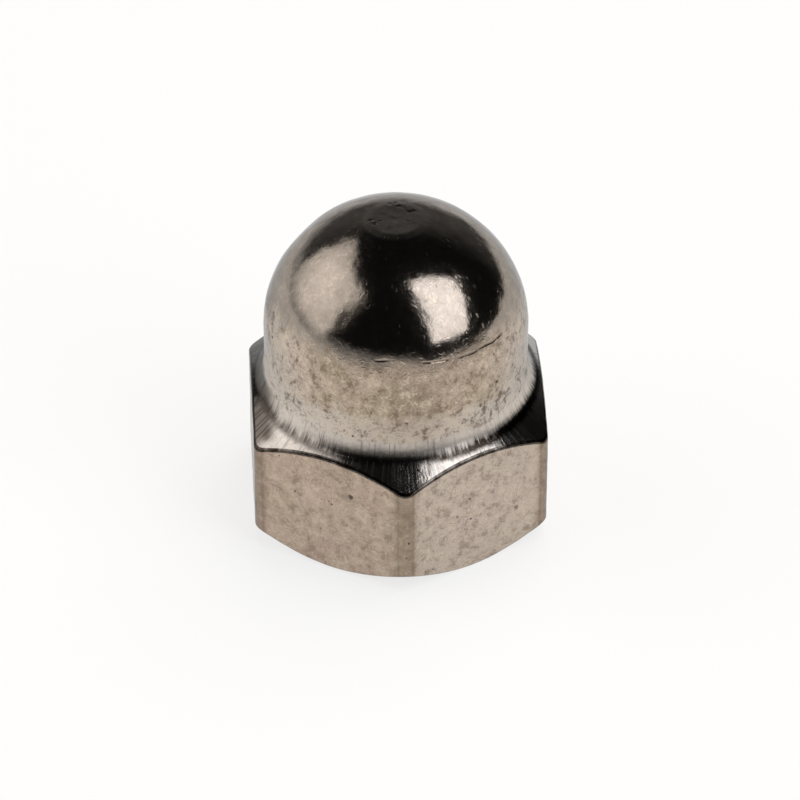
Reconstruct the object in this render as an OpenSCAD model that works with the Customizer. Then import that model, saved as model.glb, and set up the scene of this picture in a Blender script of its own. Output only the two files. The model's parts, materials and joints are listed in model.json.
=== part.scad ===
// Cap nut for an M4 screw: a hexagon with a domed, closed top, all one piece.
// The thread axis is Z. The bearing face lies in the plane z = 0 and the dome points up.
// Two corners of the hexagon lie on the Y axis, and two flats face along X.

/* [Hexagon] */
// Width across the flats
across_flats = 7; // [6.6:0.1:8]
// Height at which the shoulder's slope reaches the width across the flats
hex_height = 3.3; // [2.8:0.1:3.7]
// Rounding of the six upright corners
corner_round = 0.35; // [0.1:0.05:0.6]
// Slope of the turned shoulder, from level
shoulder_angle = 38; // [25:1:45]
// Diameter of the flat bearing face
bearing_d = 6.9; // [5.9:0.1:7]
// Slope of the chamfer round the bearing face, from level
bearing_angle = 40; // [20:1:45]

/* [Dome] */
// Height over everything
total_height = 8; // [7.7:0.1:9]
// Diameter of the dome and of the neck under it
dome_d = 6.3; // [6:0.1:6.5]
// Diameter of the small turned flat on the crown
crown_flat_d = 1.2; // [0.4:0.1:2]
// Radius of the sweep between neck and shoulder
neck_sweep = 1.2; // [0.4:0.1:1.4]

/* [Tapped hole] */
// Tapping drill for the thread
bore_d = 3.3; // [2.5:0.1:4]
// Depth of the full bore
bore_depth = 5.5; // [4.5:0.1:6]
// Point angle of the drill
drill_angle = 118; // [90:1:150]
// Diameter of the countersink at the mouth
mouth_d = 4.4; // [4.1:0.1:5.2]
// Angle of the countersink
mouth_angle = 120; // [90:1:120]

/* [Hidden] */
$fn = 96;
FLATS = 6;
OVERLAP = 0.5;                     // how far a cutting shape runs past what it cuts
TURN = 180 / FLATS;                // half the angle that one flat takes up

dome_r = dome_d / 2;
crown_flat_r = crown_flat_d / 2;
bearing_r = bearing_d / 2;
bore_r = bore_d / 2;
mouth_r = mouth_d / 2;
flat_r = across_flats / 2;

// the hexagon: its sharp corner, the centre of the rounding there, and one flat's length
sharp_r = flat_r / cos(TURN);
round_at = sharp_r - corner_round / cos(TURN);
flat_length = 2 * round_at * sin(TURN);

// the turned blank: it is wider than the corners, and the hexagon is milled out of it
blank_r = sharp_r + OVERLAP;
function shoulder_z(r) = hex_height + (flat_r - r) * tan(shoulder_angle);
function bearing_z(r) = (r - bearing_r) * tan(bearing_angle);

// the dome's centre, placed so that the crown's flat lies at the full height
dome_z = total_height - sqrt(pow(dome_r, 2) - pow(crown_flat_r, 2));

// the sweep: where neck and shoulder would meet, and the two points where it leaves them
meet_z = shoulder_z(dome_r);
sweep_turn = 90 - shoulder_angle;
sweep_room = 0.9 * min(dome_z - meet_z, sharp_r - dome_r);
sweep_r = min(neck_sweep, sweep_room / tan(sweep_turn / 2));
sweep_reach = sweep_r * tan(sweep_turn / 2);
sweep_z = meet_z + sweep_reach;
sweep_foot = [dome_r + sweep_reach * cos(shoulder_angle), meet_z - sweep_reach * sin(shoulder_angle)];

module hexagon_outline() {
    for (i = [0 : FLATS / 2 - 1])
        rotate(i * 2 * TURN)
            square([across_flats, flat_length], center = true);
    for (i = [0 : FLATS - 1])
        rotate(TURN + i * 2 * TURN)
            translate([round_at, 0])
                circle(corner_round);
}

module dome_section() {
    intersection() {
        translate([0, dome_z]) circle(dome_r);
        translate([0, dome_z]) square([dome_r + OVERLAP, total_height - dome_z]);
    }
}

module body_section() {
    difference() {
        polygon([
            [0, 0],
            [bearing_r, 0],
            [blank_r, bearing_z(blank_r)],
            [blank_r, shoulder_z(blank_r)],
            sweep_foot,
            [dome_r, sweep_z],
            [dome_r, dome_z],
            [0, dome_z]
        ]);
        translate([dome_r + sweep_r, sweep_z]) circle(sweep_r);
    }
}

module turned_blank() {
    rotate_extrude() {
        dome_section();
        body_section();
    }
}

module tapped_hole() {
    tip = bore_r / tan(drill_angle / 2);
    mouth_depth = mouth_r / tan(mouth_angle / 2);
    translate([0, 0, -OVERLAP]) cylinder(h = bore_depth + OVERLAP, r = bore_r);
    translate([0, 0, bore_depth]) cylinder(h = tip, r1 = bore_r, r2 = 0);
    cylinder(h = mouth_depth, r1 = mouth_r, r2 = 0);
}

module cap_nut() {
    color([0.66, 0.6, 0.54])
        difference() {
            intersection() {
                turned_blank();
                linear_extrude(total_height + OVERLAP) hexagon_outline();
            }
            tapped_hole();
        }
}

cap_nut();
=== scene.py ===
# %% [markdown]
# # A cap nut in bright nickel plate
# A cap nut is one piece of steel: a hexagon for the spanner, a neck, and a dome that closes over a
# blind tapped hole. It is turned from hexagon bar, drilled and tapped from below, then nickel plated
# in a tumbling barrel, which rounds every edge and leaves small dents and pits.
#
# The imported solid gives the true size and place. This script replaces its skin with a finer one that
# has rounded edges, a real thread and a worn surface, and never moves or resizes it. The steps are:
# draw the section, mill the hexagon, knock dents into the skin, cut the thread, then plate it and
# light it.

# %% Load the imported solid
import json
import math
from bisect import bisect_right

import bmesh
import bpy
from mathutils import Matrix, Vector, noise


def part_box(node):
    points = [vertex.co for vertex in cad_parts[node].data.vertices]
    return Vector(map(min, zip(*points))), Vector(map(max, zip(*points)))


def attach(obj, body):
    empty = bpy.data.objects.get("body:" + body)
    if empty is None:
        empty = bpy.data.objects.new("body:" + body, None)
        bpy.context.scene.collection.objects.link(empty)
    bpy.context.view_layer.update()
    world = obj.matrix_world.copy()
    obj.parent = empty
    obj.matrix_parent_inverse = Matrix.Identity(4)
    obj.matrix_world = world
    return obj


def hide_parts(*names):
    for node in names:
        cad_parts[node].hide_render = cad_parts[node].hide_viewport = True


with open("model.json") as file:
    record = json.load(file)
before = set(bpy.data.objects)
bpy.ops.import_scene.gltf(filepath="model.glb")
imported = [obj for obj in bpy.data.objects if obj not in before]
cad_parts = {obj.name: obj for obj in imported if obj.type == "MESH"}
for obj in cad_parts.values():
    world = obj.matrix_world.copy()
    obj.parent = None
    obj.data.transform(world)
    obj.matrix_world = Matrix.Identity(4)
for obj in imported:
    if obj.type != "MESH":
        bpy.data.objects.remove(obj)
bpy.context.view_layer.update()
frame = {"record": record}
nut_low, nut_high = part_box("cap_nut")
print("packed solid, mm:", [round(side * 1000, 3) for side in nut_high - nut_low])

# %% [markdown]
# ## Measures
# Small parts are easier to think about in millimetres, so the mesh is built in millimetres and scaled
# once at the end. The width over the flats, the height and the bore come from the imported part. The
# two axes say how far from true the bar sat in the lathe, once for the dome end and once for the
# bearing end. It is a few hundredths of a millimetre, and it makes the six corners unequal, as they
# are on a real nut.

# %% Measures in millimetres
MM = 0.001
UP = Vector((0, 0, 1))

across_flats = (nut_high.x - nut_low.x) / MM
total_height = (nut_high.z - nut_low.z) / MM
mounts = {mount["name"]: mount for mount in frame["record"]["mounts"]}
bore_r = mounts["thread"]["dims"]["r_mm"]

flat_r = across_flats / 2
hex_height = 3.3                      # where the shoulder's slope reaches the flats
shoulder_slope = math.radians(38)
bearing_r = 3.45
bearing_slope = math.radians(40)
corner_round = 0.35
dome_r = 3.15
crown_r = 0.6                         # the small turned flat on top
turned_axis = Vector((-0.02, 0.055))  # where the dome end was turned
bearing_axis = Vector((0.05, 0.0))    # where the bearing end was chamfered
print("across flats", round(across_flats, 2), "height", round(total_height, 2), "bore radius", bore_r)

# %% [markdown]
# ## The section
# A lathe makes a round part from one outline, its section. Here the section has one twist: it ends at
# the hexagon's edge, and the hexagon reaches further out at its corners than at its flats. So the
# section is a function of that reach. Where two lines meet, `bend` rounds the corner with a few
# points of a curve, which is how the barrel leaves every edge.

# %% Points along lines and bends
def steps(first, last, count):
    """count + 1 values from first to last."""
    return [first + (last - first) * i / count for i in range(count + 1)]


def line(first, last, count):
    """count + 1 points from first to last."""
    return [first.lerp(last, t) for t in steps(0, 1, count)]


def bend(first, corner, last, count):
    """A quadratic curve that leaves first towards corner and arrives at last from it."""
    points = []
    for t in steps(0, 1, count):
        points.append(first.lerp(corner, t).lerp(corner.lerp(last, t), t))
    return points


print("halfway round a bend of 1 by 1:", bend(Vector((0, 0)), Vector((1, 0)), Vector((1, 1)), 2)[1])

# %% [markdown]
# The sweep between neck and shoulder isn't a plain arc. It leaves the neck in a wide curve and gets
# tighter on its way down, so the bright band on it ends in a sharp dark line, where a plain arc would
# fade out slowly. It is walked in short straight paces, each turned a little further and on a smaller
# circle than the last, and then lifted so that its end meets the shoulder's slope. The chain of
# points runs on past the corners of the hexagon, and is cut off wherever a flat or a corner stops it.

# %% The sweep and the shoulder
SWEEP_POINTS = 104
WIDE_HOLLOW_R = 1.45                  # the sweep's radius where it leaves the neck
TIGHT_HOLLOW_R = 0.20                 # and where it runs out on the shoulder
CHAIN_REACH = 4.2                     # further out than any corner


def shoulder_z(radius):
    return hex_height + (flat_r - radius) * math.tan(shoulder_slope)


def shoulder_chain():
    """Points down the sweep, which starts wide and gets tighter, and out along the shoulder."""
    turn = math.pi / 2 - shoulder_slope
    point = Vector((dome_r, 0))
    sweep = [point]
    for turned in steps(0, turn, SWEEP_POINTS)[1:]:
        hollow_r = WIDE_HOLLOW_R + (TIGHT_HOLLOW_R - WIDE_HOLLOW_R) * turned / turn
        heading = Vector((math.sin(turned), -math.cos(turned)))
        point = point + heading * hollow_r * turn / SWEEP_POINTS
        sweep.append(point)
    rise = Vector((0, shoulder_z(point.x) - point.y))
    sweep = [point + rise for point in sweep]
    return sweep + line(sweep[-1], Vector((CHAIN_REACH, shoulder_z(CHAIN_REACH))), 40)[1:]


chain = shoulder_chain()
distances = [0]
for first, last in zip(chain, chain[1:]):
    distances.append(distances[-1] + (last - first).length)


def shoulder_point(distance):
    """The point at that distance from the foot of the neck."""
    after = bisect_right(distances, distance)
    share = (distance - distances[after - 1]) / (distances[after] - distances[after - 1])
    return chain[after - 1].lerp(chain[after], share)


def distance_to_reach(reach):
    """How far down the shoulder the hexagon cuts it off."""
    after = bisect_right([point.x for point in chain], reach)
    share = (reach - chain[after - 1].x) / (chain[after].x - chain[after - 1].x)
    return distances[after - 1] + share * (distances[after] - distances[after - 1])


print("the sweep runs from height", round(chain[0].y, 3), "to radius", round(chain[SWEEP_POINTS].x, 3))

# %% [markdown]
# The dome is a little flatter and leaner than a ball, and ends in the small turned flat on the crown.

# %% The dome
dome_z = 5.0                          # where the neck turns into the dome
DOME_FULLNESS = 1.98                  # 2 is a plain ellipse, more is fuller, less is leaner
dome_power = 2 / DOME_FULLNESS
dome_top_angle = math.acos((crown_r / dome_r) ** (1 / dome_power))
dome_rise = (total_height - dome_z) / math.sin(dome_top_angle) ** dome_power


def dome_point(angle):
    """A point of the dome's outline, which is not quite an ellipse."""
    across = dome_r * math.cos(angle) ** dome_power
    return Vector((across, dome_z + dome_rise * math.sin(angle) ** dome_power))


print("the dome turns through", round(math.degrees(dome_top_angle), 1), "degrees")

# %% [markdown]
# The section is now a list of rows from the bearing face up to the crown. Each row keeps the name of
# the stretch that it belongs to, so that later steps can ask for the flat or the upper edge.

# %% The whole section
bearing_ring_r = 2.9                  # the bearing face is closed inside this ring
least_edge_z = 0.02                   # the chamfer never quite runs out on the bearing face
edge_cut = 0.065                      # how far the rounding reaches from an edge


def section(lower_reach, reach):
    """Points (radius, height) from the bearing face to the crown, with a name for each stretch."""
    rise = Vector((math.cos(bearing_slope), math.sin(bearing_slope)))
    chamfer_height = (lower_reach - bearing_r) * math.tan(bearing_slope)
    lower_edge = Vector((lower_reach, max(least_edge_z, chamfer_height)))
    rim = lower_edge - rise * lower_edge.y / rise.y
    lower_cut = min(edge_cut, 0.4 * (lower_edge - rim).length)
    rim_cut = Vector((lower_cut, 0))
    edge_distance = distance_to_reach(reach)
    upper_edge = shoulder_point(edge_distance)
    shoulder_steps = steps(edge_distance - edge_cut, 0, 60)
    rows = []

    def draw(stretch, points):
        """Add a stretch's rows; its first point is the last one of the stretch before."""
        skip = 1 if rows else 0
        rows.extend((stretch, point) for point in points[skip:])

    # the last number on each line is how many rows it adds
    draw("bearing", line(Vector((bearing_ring_r, 0)), rim - rim_cut, 4))
    draw("bearing", bend(rim - rim_cut, rim, rim + rise * lower_cut, 3))
    draw("chamfer", line(rim + rise * lower_cut, lower_edge - rise * lower_cut, 3))
    lower_last = lower_edge + Vector((0, lower_cut))
    draw("chamfer", bend(lower_edge - rise * lower_cut, lower_edge, lower_last, 5))
    flat_last = upper_edge - Vector((0, edge_cut))
    draw("flat", line(Vector((reach, lower_last.y)), flat_last, 26))
    draw("upper edge", bend(flat_last, upper_edge, shoulder_point(edge_distance - edge_cut), 6))
    draw("shoulder", [shoulder_point(distance) for distance in shoulder_steps])
    draw("neck", line(chain[0], Vector((dome_r, dome_z)), 10))
    draw("dome", [dome_point(a) for a in steps(0, dome_top_angle, 80)])
    draw("crown", line(Vector((crown_r, total_height)), Vector((0, total_height)), 18))
    return rows


stretches = [stretch for stretch, _ in section(flat_r, flat_r)]
print("rows in a section:", len(stretches))

# %% [markdown]
# ## The hexagon's outline
# Seen from above, the hexagon is six flats joined by six round corners. Each corner gets many short
# steps, because polished metal shows every facet, and each flat gets longer ones.

# %% The outline
CORNERS = 6
CORNER_STEPS = 9
FLAT_STEPS = 58


def hexagon_outline():
    """Points around the rounded hexagon, starting at the flat that faces along +X."""
    half_turn = math.pi / CORNERS
    round_at = (flat_r - corner_round) / math.cos(half_turn)
    points = []
    for corner in range(CORNERS):
        facing = half_turn * (2 * corner + 1)
        centre = round_at * Vector((math.cos(facing), math.sin(facing)))
        for a in steps(facing - half_turn, facing + half_turn, CORNER_STEPS):
            points.append(centre + corner_round * Vector((math.cos(a), math.sin(a))))
        following = facing + 2 * half_turn
        flat_end = round_at * Vector((math.cos(following), math.sin(following)))
        flat_end += corner_round * Vector((math.cos(facing + half_turn), math.sin(facing + half_turn)))
        points.extend(line(points[-1], flat_end, FLAT_STEPS)[1:-1])
    return points


outline = hexagon_outline()
print("columns round the nut:", len(outline))

# %% [markdown]
# A column of the outline also knows how far it belongs to a corner, where a dark band of painted shade
# goes, and which flat it lies on, because every flat was milled and plated a little differently; the
# right front flat is also made lighter, as painted light.

# %% Corners and flats
CORNER_SHADE_SHARES = (1, 0.5, 0.2, 0.08)   # at a corner's two sides and on the columns next to them
INSIDE_CORNER_SHADE = 0.7                   # and between its two sides
# each flat's own tone; the right front flat, the fifth, gets the most, which is painted light
FLAT_TONES_AND_LIGHT = (0.4, 0.7, 0.2, 0.0, 1.0, 0.5)


def corner_shade_share(column):
    """How much of a corner's painted shade a column of the outline gets; it fades out over the flats."""
    place = column % (CORNER_STEPS + FLAT_STEPS)
    if 0 < place < CORNER_STEPS:
        return INSIDE_CORNER_SHADE
    past = 0 if place == 0 else min(place - CORNER_STEPS, CORNER_STEPS + FLAT_STEPS - place)
    return CORNER_SHADE_SHARES[past] if past < len(CORNER_SHADE_SHARES) else 0


def flat_tone_and_light(column):
    """How much lighter and cooler the flat under a column is: each flat's own tone, and painted light on
    the right front flat.
    """
    corner, place = divmod(column, CORNER_STEPS + FLAT_STEPS)
    return 0 if place <= CORNER_STEPS else FLAT_TONES_AND_LIGHT[corner]


print("across a corner:", [corner_shade_share(column) for column in range(-3, CORNER_STEPS + 4)])

# %% [markdown]
# ## Spinning and milling
# `bmesh.ops.spin` turns one column of edges into a round blank, as a lathe does. Each vertex then
# remembers its row, and its column follows from its angle. "Milling" moves every column to its own
# point of the outline and gives it the section for the reach that the hexagon has there, so the
# edge loops run exactly along the curved edges between flats and shoulder. The reach is measured
# from the lathe's axis, once for each end of the nut. What a column knows about corners and flats is
# stored on its vertices, and the plating reads it later.

# %% Spin the blank, then mill the hexagon
def turned_and_milled():
    shell = bmesh.new()
    row_of = shell.verts.layers.int.new("row")
    corner_shade_of = shell.verts.layers.float.new("corner")
    upper_edge_shade_of = shell.verts.layers.float.new("rim")
    tone_and_light_of = shell.verts.layers.float.new("tone")
    previous = None
    for row, (_, point) in enumerate(section(flat_r, flat_r)):
        vertex = shell.verts.new((point.x, 0, point.y))
        vertex[row_of] = row
        if previous:
            shell.edges.new((previous, vertex))
        previous = vertex
    columns = len(outline)
    bmesh.ops.spin(shell, geom=shell.verts[:] + shell.edges[:], cent=(0, 0, 0), axis=(0, 0, 1),
                   angle=2 * math.pi, steps=columns, use_merge=True, use_duplicate=False)
    upper = [point - turned_axis for point in outline]
    lower = [point - bearing_axis for point in outline]
    sections = [section(low.length, high.length) for low, high in zip(lower, upper)]
    crown = len(stretches) - 1
    by_place = {}
    for vertex in shell.verts:
        column = round(math.atan2(vertex.co.y, vertex.co.x) / (2 * math.pi) * columns) % columns
        by_place[vertex] = column
    for vertex, column in by_place.items():
        stretch, point = sections[column][vertex[row_of]]
        on_side = stretch in ("flat", "chamfer", "upper edge")
        vertex[corner_shade_of] = corner_shade_share(column) * on_side
        vertex[tone_and_light_of] = flat_tone_and_light(column) * on_side
        vertex[upper_edge_shade_of] = stretch == "upper edge"
        place = turned_axis + upper[column].normalized() * point.x
        if stretch in ("bearing", "chamfer"):
            place = bearing_axis + lower[column].normalized() * point.x
        if vertex[row_of] == crown:
            place = turned_axis
        vertex.co = (place.x, place.y, point.y)
    bmesh.ops.remove_doubles(shell, verts=shell.verts, dist=1e-5)
    return shell


shell = turned_and_milled()
print("shell:", len(shell.verts), "vertices,", 2 * len(shell.faces), "triangles")

# %% [markdown]
# ## Tumbling
# In the plating barrel thousands of nuts knock together. Their skin ends up slightly wavy and full of
# shallow dents, which only shows because polished metal turns a slope of one degree into a bent
# reflection. Both are moved into the mesh here. The waves are smooth noise of three sizes, and they
# fade out towards the crown, so that the nut keeps its height.

# %% Waves
def wave(point):
    """How far the skin swells at a point, in millimetres."""
    broad = noise.noise(point * 0.9 + Vector((3.1, 7.7, 1.3)))
    middle = noise.noise(point * 2.3 + Vector((8.2, 2.4, 5.6)))
    fine = noise.noise(point * 5.2 + Vector((1.7, 9.3, 4.1)))
    level = min(1, max(0, (total_height + 0.03 - point.z) / 0.3))
    return level * (0.010 * broad + 0.0055 * middle + 0.0018 * fine)


print("wave at the crown's edge, mm:", round(wave(Vector((crown_r, 0, total_height))), 4))

# %% [markdown]
# The crown has marks of its own, where the tool that cut the nut off the bar tore the metal: a few
# pits and two cracks, each crack drawn as a row of small dents. One wide dent lies on the dome's side.

# %% Marks on the crown and on the side
CROWN_PITS = (                        # across, away, how wide and how deep
    (-0.57, -0.02, 0.07, 0.03),
    (-0.50, -0.15, 0.08, 0.035),
    (-0.38, -0.05, 0.05, 0.015),
    (0.28, -0.1, 0.05, 0.012),
    (-0.1, 0.62, 0.08, 0.02),
    (0.02, 0.66, 0.07, 0.02),
)
SIDE_BLOW = (Vector((-2.26, 1.43, 6.65)), 0.95, 0.03)  # one wide shallow dent in the dome's side


def crown_marks():
    """Places, widths and depths of the pits and the two cracks on the crown."""
    centre = turned_axis.to_3d() + UP * total_height
    marks = []
    for across, away, reach, depth in CROWN_PITS:
        marks.append((centre + Vector((across, away, 0)), reach, depth))
    for t in steps(0, 1, 14):
        bent = Vector((0.06 + 0.46 * t, 0.50 - 0.3 * t + 0.07 * math.sin(9 * t), 0))
        marks.append((centre + bent, 0.075, 0.009))
    for t in steps(0, 1, 8):
        bent = Vector((-0.95 + 0.24 * t, 0.52 + 0.05 * t, -0.2 + 0.05 * t))
        marks.append((centre + bent, 0.08, 0.009))
    return marks


print("marks on the crown:", len(crown_marks()))

# %% [markdown]
# A dent pushes in the vertices near it, deepest in its middle, and a tree of nearest points finds them
# quickly. The many small dents lie where a seeded draw puts them, so they are the same in every run.
# The bearing face stays flat, because the nut stands on it.

# %% Knock the shell about
from random import Random

from mathutils.kdtree import KDTree

DENTS = 520
DENT_SIZES = (0.07, 0.1, 0.1, 0.15, 0.22)
DENT_DEPTHS = (0.006, 0.024)          # the least and the most, as a share of the size


def tumbled(shell, dent_count):
    """Push every outer vertex along its normal by the waves and by the dents near it."""
    bmesh.ops.recalc_face_normals(shell, faces=shell.faces)
    shell.normal_update()
    tree = KDTree(len(shell.verts))
    for index, vertex in enumerate(shell.verts):
        tree.insert(vertex.co, index)
    tree.balance()
    shell.verts.ensure_lookup_table()
    middle = UP * hex_height
    push = [wave(vertex.co) for vertex in shell.verts]
    chance = Random(5)
    dents = crown_marks()
    dents.append(SIDE_BLOW)
    for _ in range(dent_count):
        reach = chance.choice(DENT_SIZES)
        spot = shell.verts[chance.randrange(len(shell.verts))].co
        dents.append((spot, reach, reach * chance.uniform(*DENT_DEPTHS)))
    for spot, reach, depth in dents:
        for _, index, distance in tree.find_range(spot, reach):
            push[index] -= depth * (1 - (distance / reach) ** 2) ** 2
    for index, vertex in enumerate(shell.verts):
        outward = vertex.normal
        if outward.dot(vertex.co - middle) < 0:
            outward = -outward
        moved = vertex.co + outward * push[index] * min(1, vertex.co.z / 0.2)
        if vertex.co.z > 0.01:
            vertex.co = Vector((moved.x, moved.y, max(0, moved.z)))
    return shell


tumbled(shell, DENTS)
print("tumbled skin spans, mm:", round(2 * max(v.co.x for v in shell.verts), 3))

# %% [markdown]
# ## The thread
# A thread is a groove that climbs one pitch on each turn. `spin` can climb too: its `dvec` adds a
# small rise to every step. So the zigzag of several pitches, spun once round with a rise of one
# pitch, joins up with itself and is the whole thread.

# %% The thread's measures
pitch = 0.7
root_r = 2.0
root_width = pitch / 8
flank_width = (root_r - bore_r) * math.tan(math.radians(30))
crest_width = pitch - root_width - 2 * flank_width
thread_top = 4.95
thread_fade = 0.8                     # the tap's tapered nose fades the last turns out
bore_depth = 5.5
drill_tip = bore_r / math.tan(math.radians(59))  # half the drill's point angle
mouth_r = 2.2
mouth_slope = math.tan(math.radians(60))         # half the countersink's angle
THREAD_COLUMNS = 128
print("crest, flank and root, mm:", [round(w, 3) for w in (crest_width, flank_width, root_width)])

# %% [markdown]
# The zigzag is one long chain of edges: along a crest, out to a root, along it, and back in.

# %% The zigzag
def thread_chain(hole):
    """A zigzag of crests and roots, long enough to be trimmed at both ends."""
    pieces = [(crest_width, bore_r, bore_r, 3), (flank_width, bore_r, root_r, 3),
              (root_width, root_r, root_r, 2), (flank_width, root_r, bore_r, 3)]
    z = -2 * pitch
    previous = hole.verts.new((bore_r, 0, z))
    while z < thread_top + pitch:
        for width, first_r, last_r, count in pieces:
            for t in steps(0, 1, count)[1:]:
                radius = first_r + (last_r - first_r) * t
                vertex = hole.verts.new((radius, 0, z + width * t))
                hole.edges.new((previous, vertex))
                previous = vertex
            z += width


# %% [markdown]
# After the spin the thread is trimmed at both ends. The countersink and the fading end are then limits
# on how far each point may lie from the axis. The plain bore above the thread and the drill's cone are
# the top edges, extruded twice.

# %% The tapped hole
def tapped_hole():
    hole = bmesh.new()
    thread_chain(hole)
    bmesh.ops.spin(hole, geom=hole.verts[:] + hole.edges[:], cent=(0, 0, 0), axis=(0, 0, 1),
                   dvec=(0, 0, pitch / THREAD_COLUMNS), angle=2 * math.pi, steps=THREAD_COLUMNS,
                   use_merge=False, use_duplicate=False)
    bmesh.ops.remove_doubles(hole, verts=hole.verts, dist=1e-4)
    for height, keep_above in ((0, True), (thread_top, False)):
        bmesh.ops.bisect_plane(hole, geom=hole.verts[:] + hole.edges[:] + hole.faces[:], dist=1e-5,
                               plane_co=(0, 0, height), plane_no=(0, 0, 1),
                               clear_inner=keep_above, clear_outer=not keep_above)
    for vertex in hole.verts:
        radius = vertex.co.xy.length
        fade = (thread_top - vertex.co.z) / thread_fade * (root_r - bore_r)
        wanted = max(mouth_r - mouth_slope * vertex.co.z, min(radius, bore_r + max(0, fade)))
        vertex.co.xy *= wanted / radius
    top = [edge for edge in hole.edges if edge.is_boundary and edge.verts[0].co.z > thread_top / 2]
    for height, shrink in ((bore_depth, 1), (bore_depth + drill_tip, 0)):
        grown = bmesh.ops.extrude_edge_only(hole, edges=top)["geom"]
        ring = [part for part in grown if isinstance(part, bmesh.types.BMVert)]
        top = [part for part in grown if isinstance(part, bmesh.types.BMEdge)]
        bmesh.ops.scale(hole, vec=(shrink, shrink, 1), verts=ring)
        bmesh.ops.translate(hole, vec=UP * (height - ring[0].co.z), verts=ring)
    bmesh.ops.remove_doubles(hole, verts=hole.verts, dist=1e-5)
    return hole


hole = tapped_hole()
print("tapped hole:", len(hole.verts), "vertices,", len(hole.faces), "faces")

# %% [markdown]
# ## Joining shell and hole
# Both meshes are open at the bearing face. `bridge_loops` closes the flat ring between them. Once
# the surface is closed, its normals are turned outwards in one go.

# %% Join them into one closed surface
def joined(shell, hole):
    spare = bpy.data.meshes.new("spare")
    hole.to_mesh(spare)
    hole.free()
    shell.from_mesh(spare)
    bpy.data.meshes.remove(spare)
    loops = [edge for edge in shell.edges if edge.is_boundary]
    bmesh.ops.bridge_loops(shell, edges=loops)
    bmesh.ops.recalc_face_normals(shell, faces=shell.faces)
    return shell


nut = joined(shell, hole)
open_edges = sum(edge.is_boundary for edge in nut.edges)
print("open edges left:", open_edges, "volume, mm3:", round(nut.calc_volume(signed=True), 1))

# %% [markdown]
# Here the nut is scaled from millimetres to metres. Its faces are shaded smooth, except that edges
# which turn by more than `CRISP_ANGLE` stay crisp: the rims of the hole and the thread.

# %% Make the object
CRISP_ANGLE = math.radians(28)


def finished_object(nut):
    for vertex in nut.verts:
        vertex.co *= MM
    mesh = bpy.data.meshes.new("cap_nut_skin")
    nut.to_mesh(mesh)
    nut.free()
    for face in mesh.polygons:
        face.use_smooth = True
    mesh.set_sharp_from_angle(angle=CRISP_ANGLE)
    piece = bpy.data.objects.new("cap_nut_skin", mesh)
    bpy.context.collection.objects.link(piece)
    return piece


skin = finished_object(nut)
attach(skin, "root")
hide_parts("cap_nut")
print("skin:", len(skin.data.vertices), "vertices,", len(skin.data.polygons), "faces")

# %% [markdown]
# ## The nickel finish
# The plating is bright metal, so most of its colour is what it reflects. Three things make it look
# real. The dome and the shoulder were burnished smooth and the flats and the neck were not, so the
# roughness changes over the surface. The barrel left cloudy marks, hairlines, pits and nicks. And on
# the sweep and the shoulder fine streaks run downhill, where other nuts slid off the dome.
#
# Every pattern reads Object coordinates in millimetres, so its sizes are real sizes. The helpers
# below only save typing: `add` makes a node and fills its inputs from values or other nodes.

# %% Node helpers
def add(tree, kind, inputs=None, **settings):
    """Add a node, set its options, and fill its inputs from values or from other nodes' outputs."""
    made = tree.nodes.new("ShaderNode" + kind)
    for name, value in settings.items():
        setattr(made, name, value)
    for socket, value in (inputs or {}).items():
        if isinstance(value, bpy.types.NodeSocket):
            tree.links.new(value, made.inputs[socket])
        else:
            made.inputs[socket].default_value = value
    return made


def sums(tree, operation, first, second=0.0, third=0.0):
    """One Math node."""
    inputs = {0: first, 1: second, 2: third}
    return add(tree, "Math", inputs, operation=operation).outputs[0]


def ease(tree, value, start, end, low=0.0, high=1.0):
    """A smooth change from low to high while value goes from start to end."""
    inputs = {"Value": value, "From Min": start, "From Max": end, "To Min": low, "To Max": high}
    return add(tree, "MapRange", inputs, interpolation_type="SMOOTHSTEP").outputs["Result"]


def cloud(tree, place, size, detail=2.0, roughness=0.5, distortion=0.0):
    """Noise whose lumps are about size millimetres wide."""
    inputs = {"Vector": place, "Scale": 1 / size, "Detail": detail, "Roughness": roughness,
              "Distortion": distortion}
    return add(tree, "TexNoise", inputs).outputs["Fac"]


# %% [markdown]
# A pattern that is used more than once becomes a node group, a node made of nodes. Its sockets are
# named, so a material can fill them as it fills those of any other node.

# %% Helpers for groups
def new_group(name, inputs, outputs):
    """A shader node group with named sockets, and its two end nodes."""
    group = bpy.data.node_groups.new(name, "ShaderNodeTree")
    for socket, kind in inputs:
        group.interface.new_socket(name=socket, in_out="INPUT", socket_type="NodeSocket" + kind)
    for socket, kind in outputs:
        group.interface.new_socket(name=socket, in_out="OUTPUT", socket_type="NodeSocket" + kind)
    taken = group.nodes.new("NodeGroupInput").outputs
    given = group.nodes.new("NodeGroupOutput").inputs
    return group, taken, given


def use(tree, group, inputs):
    """Place a group in a material and fill its inputs."""
    made = tree.nodes.new("ShaderNodeGroup")
    made.node_tree = group
    for socket, value in inputs.items():
        if isinstance(value, bpy.types.NodeSocket):
            tree.links.new(value, made.inputs[socket])
        else:
            made.inputs[socket].default_value = value
    return made.outputs
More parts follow.
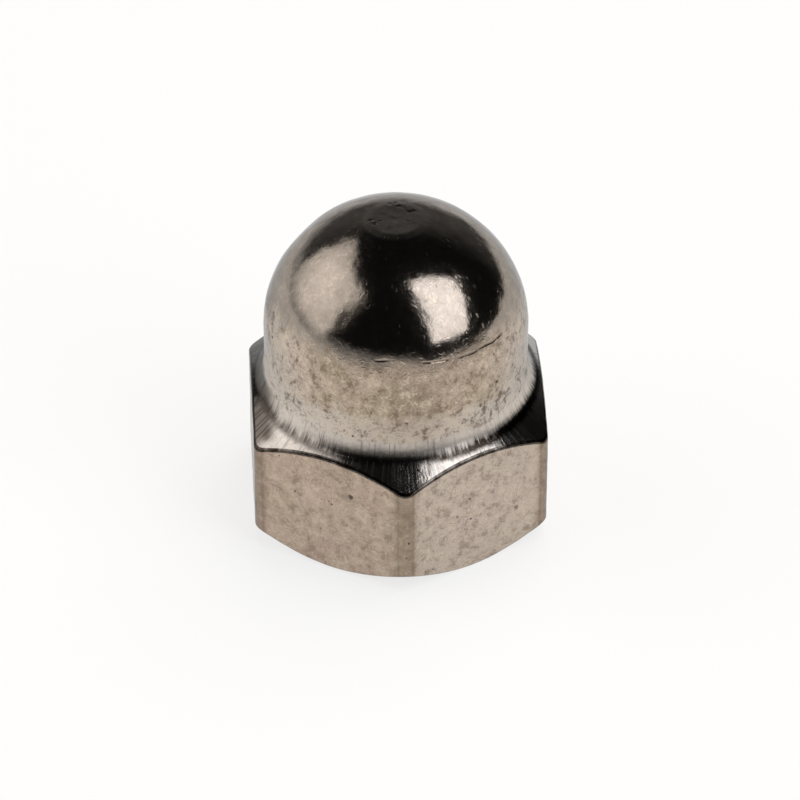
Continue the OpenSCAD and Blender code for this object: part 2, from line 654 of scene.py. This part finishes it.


# %% [markdown]
# ### Clouding
# Plating that was tumbled rather than polished is cloudy, in soft patches of a few tenths of a
# millimetre. On top lie short curved strokes, each a groove with a burr beside it, with a small relief;
# the plating paints the groove with painted shade and the burr with a painted highlight.
# They are contour lines: the places where a second noise passes through two values close together,
# kept only where a third noise allows them. Longer, thinner ones make the hairlines.

# %% Group: clouding
def clouding_group():
    group, taken, given = new_group("clouding", [("Place", "Vector")],
                                    [("Cloud", "Float"), ("Tone", "Float"), ("BurrsAndHighlights", "Float"),
                                     ("GroovesAndShade", "Float"), ("Hairlines", "Float")])
    place = taken["Place"]
    coarse = cloud(group, place, 0.30, detail=5, roughness=0.78, distortion=0.12)
    group.links.new(ease(group, coarse, 0.3, 0.7), given["Cloud"])
    group.links.new(ease(group, cloud(group, place, 1.1, detail=2), 0.35, 0.65), given["Tone"])

    def contours(size, distortion, width, patch_size, kept_from, names):
        field = cloud(group, place, size, detail=1, distortion=distortion)
        kept = ease(group, cloud(group, place, patch_size, detail=1), kept_from, kept_from + 0.06)
        for side, name in zip((-1, 1), names):
            off = sums(group, "ABSOLUTE", sums(group, "SUBTRACT", field, 0.5 + side * width))
            group.links.new(sums(group, "MULTIPLY", ease(group, off, width, 0.0), kept), given[name])

    contours(size=0.17, distortion=0.6, width=0.055, patch_size=0.15, kept_from=0.50,
             names=("GroovesAndShade", "BurrsAndHighlights"))
    contours(size=0.9, distortion=0.4, width=0.010, patch_size=0.5, kept_from=0.54,
             names=("Hairlines",))
    return group


clouding = clouding_group()
print("nodes in the clouding:", len(clouding.nodes))

# %% [markdown]
# ### Pits
# Small round holes in the plating. A Voronoi texture gives every point the distance to its nearest
# centre, and a colour that is the same all over a centre's cell. The distance makes the round pit,
# and the colour decides by chance which cells have one, and how big it is.

# %% Group: pits
def pits_group():
    group, taken, given = new_group("pits", [("Place", "Vector"), ("Spacing", "Float"),
                                             ("Radius", "Float"), ("Share", "Float")],
                                    [("Pits", "Float")])
    scale = sums(group, "DIVIDE", 1.0, taken["Spacing"])
    cells = add(group, "TexVoronoi", {"Vector": taken["Place"], "Scale": scale})
    chance = add(group, "SeparateColor", {0: cells.outputs["Color"]}).outputs
    wobble = cloud(group, taken["Place"], 0.06, detail=1)
    size = sums(group, "MULTIPLY_ADD", chance["Green"], 0.8, 0.4)
    radius = sums(group, "MULTIPLY", sums(group, "MULTIPLY", size, taken["Radius"]), scale)
    shaken = sums(group, "MULTIPLY", cells.outputs["Distance"], sums(group, "ADD", wobble, 0.5))
    hole = ease(group, shaken, radius, sums(group, "MULTIPLY", radius, 0.45))
    present = sums(group, "LESS_THAN", chance["Red"], taken["Share"])
    depth = sums(group, "MULTIPLY_ADD", chance["Blue"], 0.75, 0.25)
    shown = sums(group, "MULTIPLY", present, depth)
    group.links.new(sums(group, "MULTIPLY", hole, shown), given["Pits"])
    return group


pits = pits_group()
print("nodes in the pits:", len(pits.nodes))

# %% [markdown]
# ### Streaks
# Streaks run down the sweep and the shoulder. Seen from the axis they are narrow and very long. So
# the noise reads the distance round the nut at full size and the way down hardly at all. The
# direction from the axis, put on a circle, gives the distance round without a seam.

# %% Group: streaks
def round_the_nut(group, place, ring_r, stretch):
    """A place on a ring round the axis, with the way down from the crown times stretch."""
    flat = add(group, "VectorMath", {0: place, 1: (1, 1, 0)}, operation="MULTIPLY")
    outward = add(group, "VectorMath", {0: flat.outputs[0]}, operation="NORMALIZE")
    ring = add(group, "VectorMath", {0: outward.outputs[0], "Scale": ring_r}, operation="SCALE")
    radius = add(group, "VectorMath", {0: flat.outputs[0]}, operation="LENGTH").outputs["Value"]
    above = sums(group, "SUBTRACT", add(group, "SeparateXYZ", {0: place}).outputs["Z"], dome_z)
    way_down = sums(group, "MULTIPLY", sums(group, "ARCTAN2", radius, above), dome_r * stretch)
    along = add(group, "CombineXYZ", {"Z": way_down})
    whole = add(group, "VectorMath", {0: ring.outputs[0], 1: along.outputs[0]}, operation="ADD")
    return whole.outputs[0]


def streaks_group():
    group, taken, given = new_group("streaks", [("Place", "Vector")],
                                    [("Fine", "Float"), ("Broad", "Float")])
    along = round_the_nut(group, taken["Place"], ring_r=3.6, stretch=0.09)
    group.links.new(cloud(group, along, 0.075, detail=2, roughness=0.6), given["Fine"])
    group.links.new(cloud(group, along, 0.24, detail=2, roughness=0.55), given["Broad"])
    return group


streaks = streaks_group()
print("nodes in the streaks:", len(streaks.nodes))

# %% [markdown]
# ### Nicks
# Where nuts struck each other with an edge, the dome has short narrow nicks that catch the lamps.
# They are pits again, in the coordinates of the streaks, so each round pit becomes a thin one that
# runs downhill. A slow noise gathers them in a few places.

# %% Group: nicks
def nicks_group():
    group, taken, given = new_group("nicks", [("Place", "Vector")], [("Nicks", "Float")])
    along = round_the_nut(group, taken["Place"], ring_r=2.6, stretch=0.4)
    inputs = {"Place": along, "Spacing": 0.11, "Radius": 0.035, "Share": 0.6}
    gathered = ease(group, cloud(group, taken["Place"], 1.3, detail=1), 0.45, 0.6)
    group.links.new(sums(group, "MULTIPLY", use(group, pits, inputs)["Pits"], gathered), given["Nicks"])
    return group


nicks = nicks_group()
print("nodes in the nicks:", len(nicks.nodes))

# %% [markdown]
# ### The plating itself
# The material is a stack of thin coats, each mixed over the last by a mask that runs from 0 to 1.
# Colour, roughness and relief all use the same masks, so that a pit is darker and deeper at one and
# the same spot. The metal itself is set by two plain values: it is a metal all over, and a tint
# below 1 keeps its reflection from going white where it is seen at a flat angle.

# %% Start the plating
plating = bpy.data.materials.new("nickel_plate")
plating.use_nodes = True
tree = plating.node_tree
shader = tree.nodes["Principled BSDF"]
shader.inputs["Metallic"].default_value = 1
shader.inputs["Specular Tint"].default_value = (0.68, 0.70, 0.72, 1)


def times(first, second):
    return sums(tree, "MULTIPLY", first, second)


def plus(first, second, base):
    """first times second, plus base."""
    return sums(tree, "MULTIPLY_ADD", first, second, base)


def blend(share, first, second):
    """The second colour over the first, by its share."""
    return add(tree, "Mix", {0: share, 6: first, 7: second}, data_type="RGBA").outputs[2]


print("tint at a flat angle:", [round(part, 2) for part in shader.inputs["Specular Tint"].default_value])

# %% [markdown]
# Every mask starts from one of these: the place of the point in millimetres, the way the surface
# faces there (how far its normal points up), and what the vertices stored.

# %% Where a point lies, in millimetres
spot = add(tree, "TexCoord").outputs
place = add(tree, "VectorMath", {0: spot["Object"], "Scale": 1 / MM}, operation="SCALE").outputs[0]
sides = add(tree, "SeparateXYZ", {0: place}).outputs
height = sides["Z"]
uphill = add(tree, "SeparateXYZ", {0: spot["Normal"]}).outputs["Z"]
corner, rim, tone = [add(tree, "Attribute", attribute_name=name).outputs["Fac"]
                     for name in ("corner", "rim", "tone")]
print("nodes to find a point:", len(tree.nodes))

# %% [markdown]
# The finishes follow the height and the slope. The dome was burnished down to a ragged line, so a slow
# noise shifts the height there by a few tenths of a millimetre. The turned shoulder is known by its
# slope, and the painted shade in its crease by the distance from the lathe's axis. The satin on the
# sweep and a cool tone on the neck are stronger at the two sides than in front and behind, as a
# painted sheen at the left and right.

# %% Where each finish is
edge_noise = cloud(tree, place, 0.5, detail=2)


def near(centre, radius):
    """A soft ball round a place, 1 in its middle; its edge is ragged."""
    far = add(tree, "VectorMath", {0: place, 1: centre}, operation="DISTANCE").outputs["Value"]
    return ease(tree, plus(edge_noise, 0.8 * radius, far), 1.35 * radius, 0.35 * radius)


shifted = plus(edge_noise, 0.7, sums(tree, "ADD", height, -0.35))
burnished_dome = ease(tree, shifted, 5.65, 6.25)
turned_top = ease(tree, uphill, 0.12, 0.3)
shoulder = times(turned_top, ease(tree, height, 4.0, 3.85))
off_axis = add(tree, "VectorMath", {0: place, 1: turned_axis.to_3d()}, operation="SUBTRACT")
level = add(tree, "VectorMath", {0: off_axis.outputs[0], 1: (1, 1, 0)}, operation="MULTIPLY")
radius = add(tree, "VectorMath", {0: level.outputs[0]}, operation="LENGTH").outputs["Value"]
aside = sums(tree, "ABSOLUTE", sides["X"])
side_sheen = ease(tree, aside, 0.5, 2.6, 0.55, 1.0)
neck_side_sheen = ease(tree, aside, 1.7, 2.9, 0.0, 0.46)
satin = times(ease(tree, shifted, 4.75, 4.15), ease(tree, height, 3.40, 3.52))
on_neck = ease(tree, height, 3.5, 3.8)
crown = ease(tree, height, total_height - 0.06, total_height - 0.03)
seam_height = plus(cloud(tree, place, 1.0, detail=2), 0.30, plus(sides["X"], 0.06, height))
off_seam = sums(tree, "ABSOLUTE", sums(tree, "SUBTRACT", seam_height, 6.16))
print("nodes for the finishes:", len(tree.nodes))

# %% [markdown]
# The marks come from the groups. The pits are used three times, from fine rust dots to a few large
# holes. A thin dark seam, where the burnishing left a small lip that holds grime, runs part of the way
# round just under the dome. `dull` is what was left unburnished, where marks show most.

# %% Where each mark is
marks = use(tree, clouding, {"Place": place})
lines = use(tree, streaks, {"Place": place})
# painted shade: a ragged dark ring round the axis where the sweep meets the shoulder
ragged = plus(lines["Fine"], 0.20, radius)
off_crease = sums(tree, "ABSOLUTE", sums(tree, "SUBTRACT", ragged, 3.47))
painted_crease_shade = times(ease(tree, off_crease, 0.14, 0.02), shoulder)
seam = times(ease(tree, off_seam, 0.05, 0.0), ease(tree, sides["X"], -0.9, -0.3))
seam = times(seam, ease(tree, marks["Tone"], 0.05, 0.4))
dots = use(tree, pits, {"Place": place, "Spacing": 0.15, "Radius": 0.028, "Share": 0.35})["Pits"]
small = use(tree, pits, {"Place": place, "Spacing": 0.30, "Radius": 0.045, "Share": 0.5})["Pits"]
large = use(tree, pits, {"Place": place, "Spacing": 0.8, "Radius": 0.085, "Share": 0.5})["Pits"]
struck = use(tree, nicks, {"Place": place})["Nicks"]
dull = sums(tree, "SUBTRACT", 1.0, sums(tree, "MAXIMUM", burnished_dome, shoulder))
holes = times(sums(tree, "MAXIMUM", small, large), plus(dull, 0.9, 0.1))
print("nodes with the marks:", len(tree.nodes))

# %% [markdown]
# Nickel is a warm grey, and tarnish makes it olive in places. All coats are that metal, lighter or
# darker, cooler where it is satin, and brown where rust sits. The near-black coats are painted shade:
# in the crease, on the upper edges, in the pits and on the left shoulder corner.

# %% The coats
plain = (0.437, 0.339, 0.274, 1)
olive = (0.390, 0.315, 0.230, 1)
bright = (0.315, 0.272, 0.230, 1)
polished = (0.430, 0.395, 0.360, 1)
# a cooler, lighter metal tone; it is also laid on as painted sheen at the sides and as painted light on
# the right front flat
cool_tone_and_sheen = (0.64, 0.58, 0.515, 1)
dark = (0.20, 0.148, 0.108, 1)
light = (0.66, 0.55, 0.43, 1)
rust = (0.13, 0.080, 0.050, 1)
# near black: the painted shade in the pits and on the left shoulder corner, and the dark streaks
hole_colour = (0.06, 0.048, 0.040, 1)
# near black, laid on only as painted shade: in the crease and on the rounded upper edges
painted_shade_black = (0.026, 0.019, 0.015, 1)
print("the plain metal reflects:", plain[:3])

# %% [markdown]
# Each line lays one coat over what is there, as far as its share says: at 0.4 the lower coat still
# shows most. The brown and dark coats come last, because rust lies on top of the metal and the
# painted shade goes over everything.

# %% Mix the colour
strength = plus(dull, plus(on_neck, 0.65, 0.5), 0.5)
scuffed = plus(dull, 0.6, 0.4)
colour = blend(plus(on_neck, 0.30, times(marks["Tone"], 0.7)), plain, olive)
# painted sheen: the neck is made cooler and lighter towards its left and right sides
colour = blend(times(on_neck, neck_side_sheen), colour, cool_tone_and_sheen)
colour = blend(burnished_dome, colour, bright)
colour = blend(times(crown, 0.2), colour, cool_tone_and_sheen)
colour = blend(shoulder, colour, polished)
# the satin's cool tone is real; it is painted stronger at the left and right sides, as painted sheen
colour = blend(times(satin, side_sheen), colour, cool_tone_and_sheen)
# each flat's own tone, plus painted light that makes the right front flat lighter
colour = blend(times(tone, 0.34), colour, cool_tone_and_sheen)
# painted shade: a darker patch on the front of the neck, for the darker table mirrored there
front_neck_shade = near((0.2, -3.2, 4.95), 1.35)
colour = blend(times(front_neck_shade, 0.5), colour, dark)
colour = blend(times(times(ease(tree, marks["Cloud"], 0.5, 0.0), strength), 0.62), colour, dark)
colour = blend(times(times(ease(tree, marks["Cloud"], 0.5, 1.0), strength), 0.40), colour, light)
# painted highlight: the burr beside each stroke is painted lighter
colour = blend(times(times(marks["BurrsAndHighlights"], scuffed), 0.22), colour, light)
# painted shade: the groove of each stroke is painted darker, on top of its real relief
colour = blend(times(times(marks["GroovesAndShade"], scuffed), 0.38), colour, dark)
colour = blend(times(times(dots, dull), 0.75), colour, rust)
colour = blend(times(marks["Hairlines"], plus(satin, 0.4, 0.3)), colour, rust)
# painted shade: every round corner is darkened into a band
colour = blend(times(corner, plus(marks["Cloud"], -0.35, 0.90)), colour, dark)
streak = times(ease(tree, lines["Fine"], 0.52, 0.72), shoulder)
colour = blend(times(streak, 0.5), colour, hole_colour)
# painted shade: a dark ring in the crease at the foot of the sweep, deeper on the right
deeper_shade_on_right = ease(tree, sides["X"], 0.2, 1.3, 0.05, 0.35)
crease_shade_share = times(painted_crease_shade, plus(marks["Cloud"], 0.35, plus(lines["Fine"], 1.0, deeper_shade_on_right)))
colour = blend(crease_shade_share, colour, painted_shade_black)
# painted shade: the shoulder at the left front corner is painted nearly black in streaks, hiding the
# left softbox's reflection there
left_corner_area = times(ease(tree, plus(edge_noise, 0.5, sides["Y"]), -1.85, -1.45),
                ease(tree, sides["X"], -2.85, -3.2))
left_corner_shade = times(times(left_corner_area, turned_top), plus(lines["Fine"], -1.4, 1.6))
colour = blend(left_corner_shade, colour, hole_colour)
# painted shade: the rounded upper edges of the flats are painted nearly black, a painted reflection of
# the dark room
colour = blend(times(rim, plus(marks["Cloud"], -0.35, 1.05)), colour, painted_shade_black)
colour = blend(times(seam, 0.55), colour, rust)
# the pits are real dents in the relief; their near-black colour is painted shade
colour = blend(times(holes, plus(dull, 0.8, 0.1)), colour, hole_colour)
tree.links.new(colour, shader.inputs["Base Color"])
print("nodes with the colour:", len(tree.nodes))

# %% [markdown]
# Roughness decides how sharp the reflections are. Burnished metal is smooth, and the satin sweep, the
# cloudy flats, the struck places and the cut-off crown are less so.

# %% Roughness
rough = plus(times(dull, marks["Cloud"]), 0.16, 0.12)
rough = plus(satin, 0.20, rough)
rough = plus(times(shoulder, ease(tree, lines["Fine"], 0.45, 0.75)), 0.13, rough)
rough = plus(times(struck, burnished_dome), 0.22, rough)
rough = plus(crown, 0.12, rough)
tree.links.new(rough, shader.inputs["Roughness"])
print("nodes with the roughness:", len(tree.nodes))

# %% [markdown]
# What is too fine for the mesh is a bump: clouding and strokes, pits, nicks, the seam and the streaks.
# The heights are in thousandths of a millimetre, so the Bump node's distance is one of those.

# %% Relief
relief = times(marks["Cloud"], plus(dull, 2.3, 0.9))
strokes = sums(tree, "SUBTRACT", marks["BurrsAndHighlights"], marks["GroovesAndShade"])
relief = plus(strokes, plus(dull, 1.8, 0.45), relief)
relief = plus(holes, -12.0, relief)
relief = plus(times(struck, burnished_dome), 1.4, relief)
relief = plus(seam, -8.0, relief)
relief = plus(times(lines["Fine"], plus(shoulder, 2.0, times(satin, 1.5))), 1.0, relief)
relief = plus(times(lines["Broad"], plus(shoulder, 1.5, times(satin, 1.5))), 1.0, relief)
bump = add(tree, "Bump", {"Height": relief, "Distance": MM * MM, "Strength": 1.0})
tree.links.new(bump.outputs["Normal"], shader.inputs["Normal"])
print("nodes with the relief:", len(tree.nodes))

# %% [markdown]
# All its nodes are linked now, so the plating can go on the nut.

# %% Plate the nut
skin.data.materials.append(plating)
print("the nut is plated with", skin.data.materials[-1].name)

# %% [markdown]
# ## Camera
# The lens is long, as it has to be to fill the frame with something eight millimetres high, and it
# looks down on the nut at about forty degrees. `placed` turns a direction that is given as seen from
# the camera (across, away, up) into the scene's own axes.

# %% Camera
CAMERA_AZIMUTH = math.radians(-3.05)
CAMERA_ELEVATION = math.radians(37.6)
CAMERA_DISTANCE = 0.130
LENS = 243.2                          # a very long lens, which makes the sides look parallel


def placed(across, away, up):
    """A direction as seen from the camera, in the scene's axes."""
    right = Vector((math.cos(CAMERA_AZIMUTH), math.sin(CAMERA_AZIMUTH), 0))
    forward = Vector((-math.sin(CAMERA_AZIMUTH), math.cos(CAMERA_AZIMUTH), 0))
    return right * across + forward * away + UP * up


back = placed(0, -math.cos(CAMERA_ELEVATION), math.sin(CAMERA_ELEVATION))
aim = placed(0.074, 0, 2.68) * MM
camera_data = bpy.data.cameras.new("camera")
camera_data.lens = LENS
camera_data.clip_start = 0.01
camera = bpy.data.objects.new("camera", camera_data)
bpy.context.collection.objects.link(camera)
camera.location = aim + back * CAMERA_DISTANCE
camera.rotation_euler = back.to_track_quat("Z", "Y").to_euler()
bpy.context.scene.camera = camera
print("camera at, mm:", [round(side / MM, 1) for side in camera.location])

# %% [markdown]
# ## Stage
# Polished metal is a picture of its surroundings, so the stage matters as much as the finish: a white
# table, two softboxes, a faint grey wall behind and darkness above.

# %% A piece of the stage
def staged(name, mesh_maker, material, matrix):
    """A stage piece from a bmesh operator, moved to its place."""
    made = bmesh.new()
    made.loops.layers.uv.new("cloth")
    mesh_maker(made)
    bmesh.ops.transform(made, matrix=matrix, verts=made.verts)
    mesh = bpy.data.meshes.new(name)
    made.to_mesh(mesh)
    made.free()
    mesh.materials.append(material)
    piece = bpy.data.objects.new(name, mesh)
    bpy.context.collection.objects.link(piece)
    return piece


# %% [markdown]
# The table is partly lit from inside, as a light table is, for the rays that see it directly or in the
# metal, so it stays white and still takes the nut's shadow.

# %% The table
def table_material():
    material = bpy.data.materials.new("white_table")
    material.use_nodes = True
    tree = material.node_tree
    paint = tree.nodes["Principled BSDF"]
    paint.inputs["Base Color"].default_value = (0.90, 0.90, 0.90, 1)
    paint.inputs["Roughness"].default_value = 0.6
    paint.inputs["Specular IOR Level"].default_value = 0.2
    glow = add(tree, "Emission", {"Color": (1, 1, 1, 1), "Strength": 1.0})
    path = add(tree, "LightPath").outputs
    seen = sums(tree, "MAXIMUM", path["Is Camera Ray"], path["Is Glossy Ray"])
    seen = sums(tree, "MAXIMUM", seen, path["Is Transmission Ray"])
    share = sums(tree, "MULTIPLY", seen, 0.75)
    mixed = add(tree, "MixShader", {0: share, 1: paint.outputs[0], 2: glow.outputs[0]})
    tree.links.new(mixed.outputs[0], tree.nodes["Material Output"].inputs["Surface"])
    return material


TABLE_HALF = 3.0
staged("table", lambda made: bmesh.ops.create_grid(made, x_segments=1, y_segments=1, size=TABLE_HALF),
       table_material(), Matrix.Translation((0, 0, -0.000004)))
print("the table is", 2 * TABLE_HALF, "m wide")

# %% [markdown]
# A softbox is a cloth that is lit from behind. It is brightest in its middle, and here its margins
# fade to clear, so that the room behind shows through them and its reflection has no dark frame.

# %% The lamp cloth
def softbox_material(name, colour, centre, fall, edges):
    """A lamp cloth: strongest in its centre, weaker by the share fall further out, clear at its rim."""
    material = bpy.data.materials.new(name)
    material.use_nodes = True
    tree = material.node_tree
    tree.nodes.remove(tree.nodes["Principled BSDF"])
    cloth = add(tree, "TexCoord").outputs["UV"]
    from_middle = add(tree, "VectorMath", {0: cloth, 1: (0.5, 0.5, 0)}, operation="SUBTRACT").outputs[0]
    folded = add(tree, "VectorMath", {0: from_middle}, operation="ABSOLUTE").outputs[0]
    sides = add(tree, "SeparateXYZ", {0: folded}).outputs
    side, end = [ease(tree, sides[axis], 0.5, 0.5 - edge) for axis, edge in zip("XY", edges)]
    far = add(tree, "VectorMath", {0: from_middle}, operation="LENGTH").outputs["Value"]
    strength = ease(tree, far, 0.65, 0.0, centre * (1 - fall), centre)
    glow = add(tree, "Emission", {"Color": (*colour, 1), "Strength": strength})
    clear = add(tree, "BsdfTransparent")
    cover = sums(tree, "MULTIPLY", side, end)
    mixed = add(tree, "MixShader", {0: cover, 1: clear.outputs[0], 2: glow.outputs[0]})
    tree.links.new(mixed.outputs[0], tree.nodes["Material Output"].inputs["Surface"])
    return material


# %% [markdown]
# The right softbox is small and crisp, the left one is long and soft. Where a softbox shows on the
# dome follows from its direction alone, so it is placed by direction, at one distance.

# %% Softboxes
def softbox(name, middle, across, up, material):
    """A grid from -1 to 1, stretched to the two half sides."""
    facing = across.cross(up).normalized()
    columns = [side.to_4d() for side in (across, up, facing)]
    for column in columns:
        column.w = 0
    matrix = Matrix((*columns, middle.to_4d())).transposed()
    return staged(name, lambda made: bmesh.ops.create_grid(made, x_segments=1, y_segments=1, size=1,
                                                           calc_uvs=True), material, matrix)


SOFTBOX_DISTANCE = 0.4
softbox("right_softbox", placed(0.698, -0.365, 0.527) * SOFTBOX_DISTANCE,
        placed(0.386, 0.118, 0.050) * SOFTBOX_DISTANCE, placed(-0.207, 0.296, 0.248) * SOFTBOX_DISTANCE,
        softbox_material("right_cloth", (0.93, 0.95, 1.0), centre=3.0, fall=0.1, edges=(0.03, 0.03)))
softbox("left_softbox", placed(-0.886, 0.11, 0.570) * SOFTBOX_DISTANCE,
        placed(0.0, 0.78, 0.0) * SOFTBOX_DISTANCE, placed(0.335, 0.0, 0.529) * SOFTBOX_DISTANCE,
        softbox_material("left_cloth", (1.0, 0.98, 0.97), centre=1.85, fall=0.5, edges=(0.13, 0.16)))
print("the softboxes stand", SOFTBOX_DISTANCE, "m away")

# %% [markdown]
# The softboxes alone would leave the table grey. A broad light from above lifts it. The metal doesn't
# mirror this light, which would show on it as a round spot.

# %% Overhead light
sun_data = bpy.data.lights.new("overhead", "SUN")
sun_data.energy = 2.1
sun_data.color = (1, 0.94, 0.86)
sun_data.angle = math.radians(60)
sun = bpy.data.objects.new("overhead", sun_data)
sun.visible_glossy = False
sun.rotation_euler = placed(0.3, 0.4, 1).to_track_quat("Z", "Y").to_euler()
bpy.context.collection.objects.link(sun)
print("overhead light, watts per square metre:", round(sun_data.energy, 1))

# %% [markdown]
# What is left is the room, which the sides of the dome and the shoulder mirror. The height above the
# horizon is the Z of the direction looked in. The dot product with another direction tells how nearly
# the two agree, so it can light one side of the room and leave the others dark.

# %% The room
def room():
    """Dark overhead, a pale glow along the horizon except on the right, a dim round wall behind."""
    world = bpy.data.worlds.new("room")
    world.use_nodes = True
    tree = world.node_tree
    looking = add(tree, "TexCoord").outputs["Generated"]
    rise = add(tree, "SeparateXYZ", {0: looking}).outputs["Z"]

    def towards(direction):
        ahead = add(tree, "VectorMath", {0: looking, 1: direction}, operation="DOT_PRODUCT")
        return ahead.outputs["Value"]

    top = ease(tree, towards(placed(1, 0, 0)), 0.1, 0.9, 0.22, -0.03)
    above = sums(tree, "SUBTRACT", top, rise)
    glow = ease(tree, above, 0.0, 0.18, 0.0, 0.55)
    wall = ease(tree, towards(placed(0, 1, 0)), 0.48, 0.95, 0.0, 0.13)
    total = sums(tree, "ADD", sums(tree, "MAXIMUM", glow, wall), 0.010)
    background = tree.nodes["Background"]
    background.inputs["Color"].default_value = (0.97, 0.98, 1.0, 1)
    tree.links.new(total, background.inputs["Strength"])
    return world


bpy.context.scene.world = room()
print("nodes in the room:", len(bpy.context.scene.world.node_tree.nodes))

# %% [markdown]
# ## Close
# The view is set to Standard, so colours show as they are computed.

# %% Close
bpy.context.scene.view_settings.view_transform = "Standard"
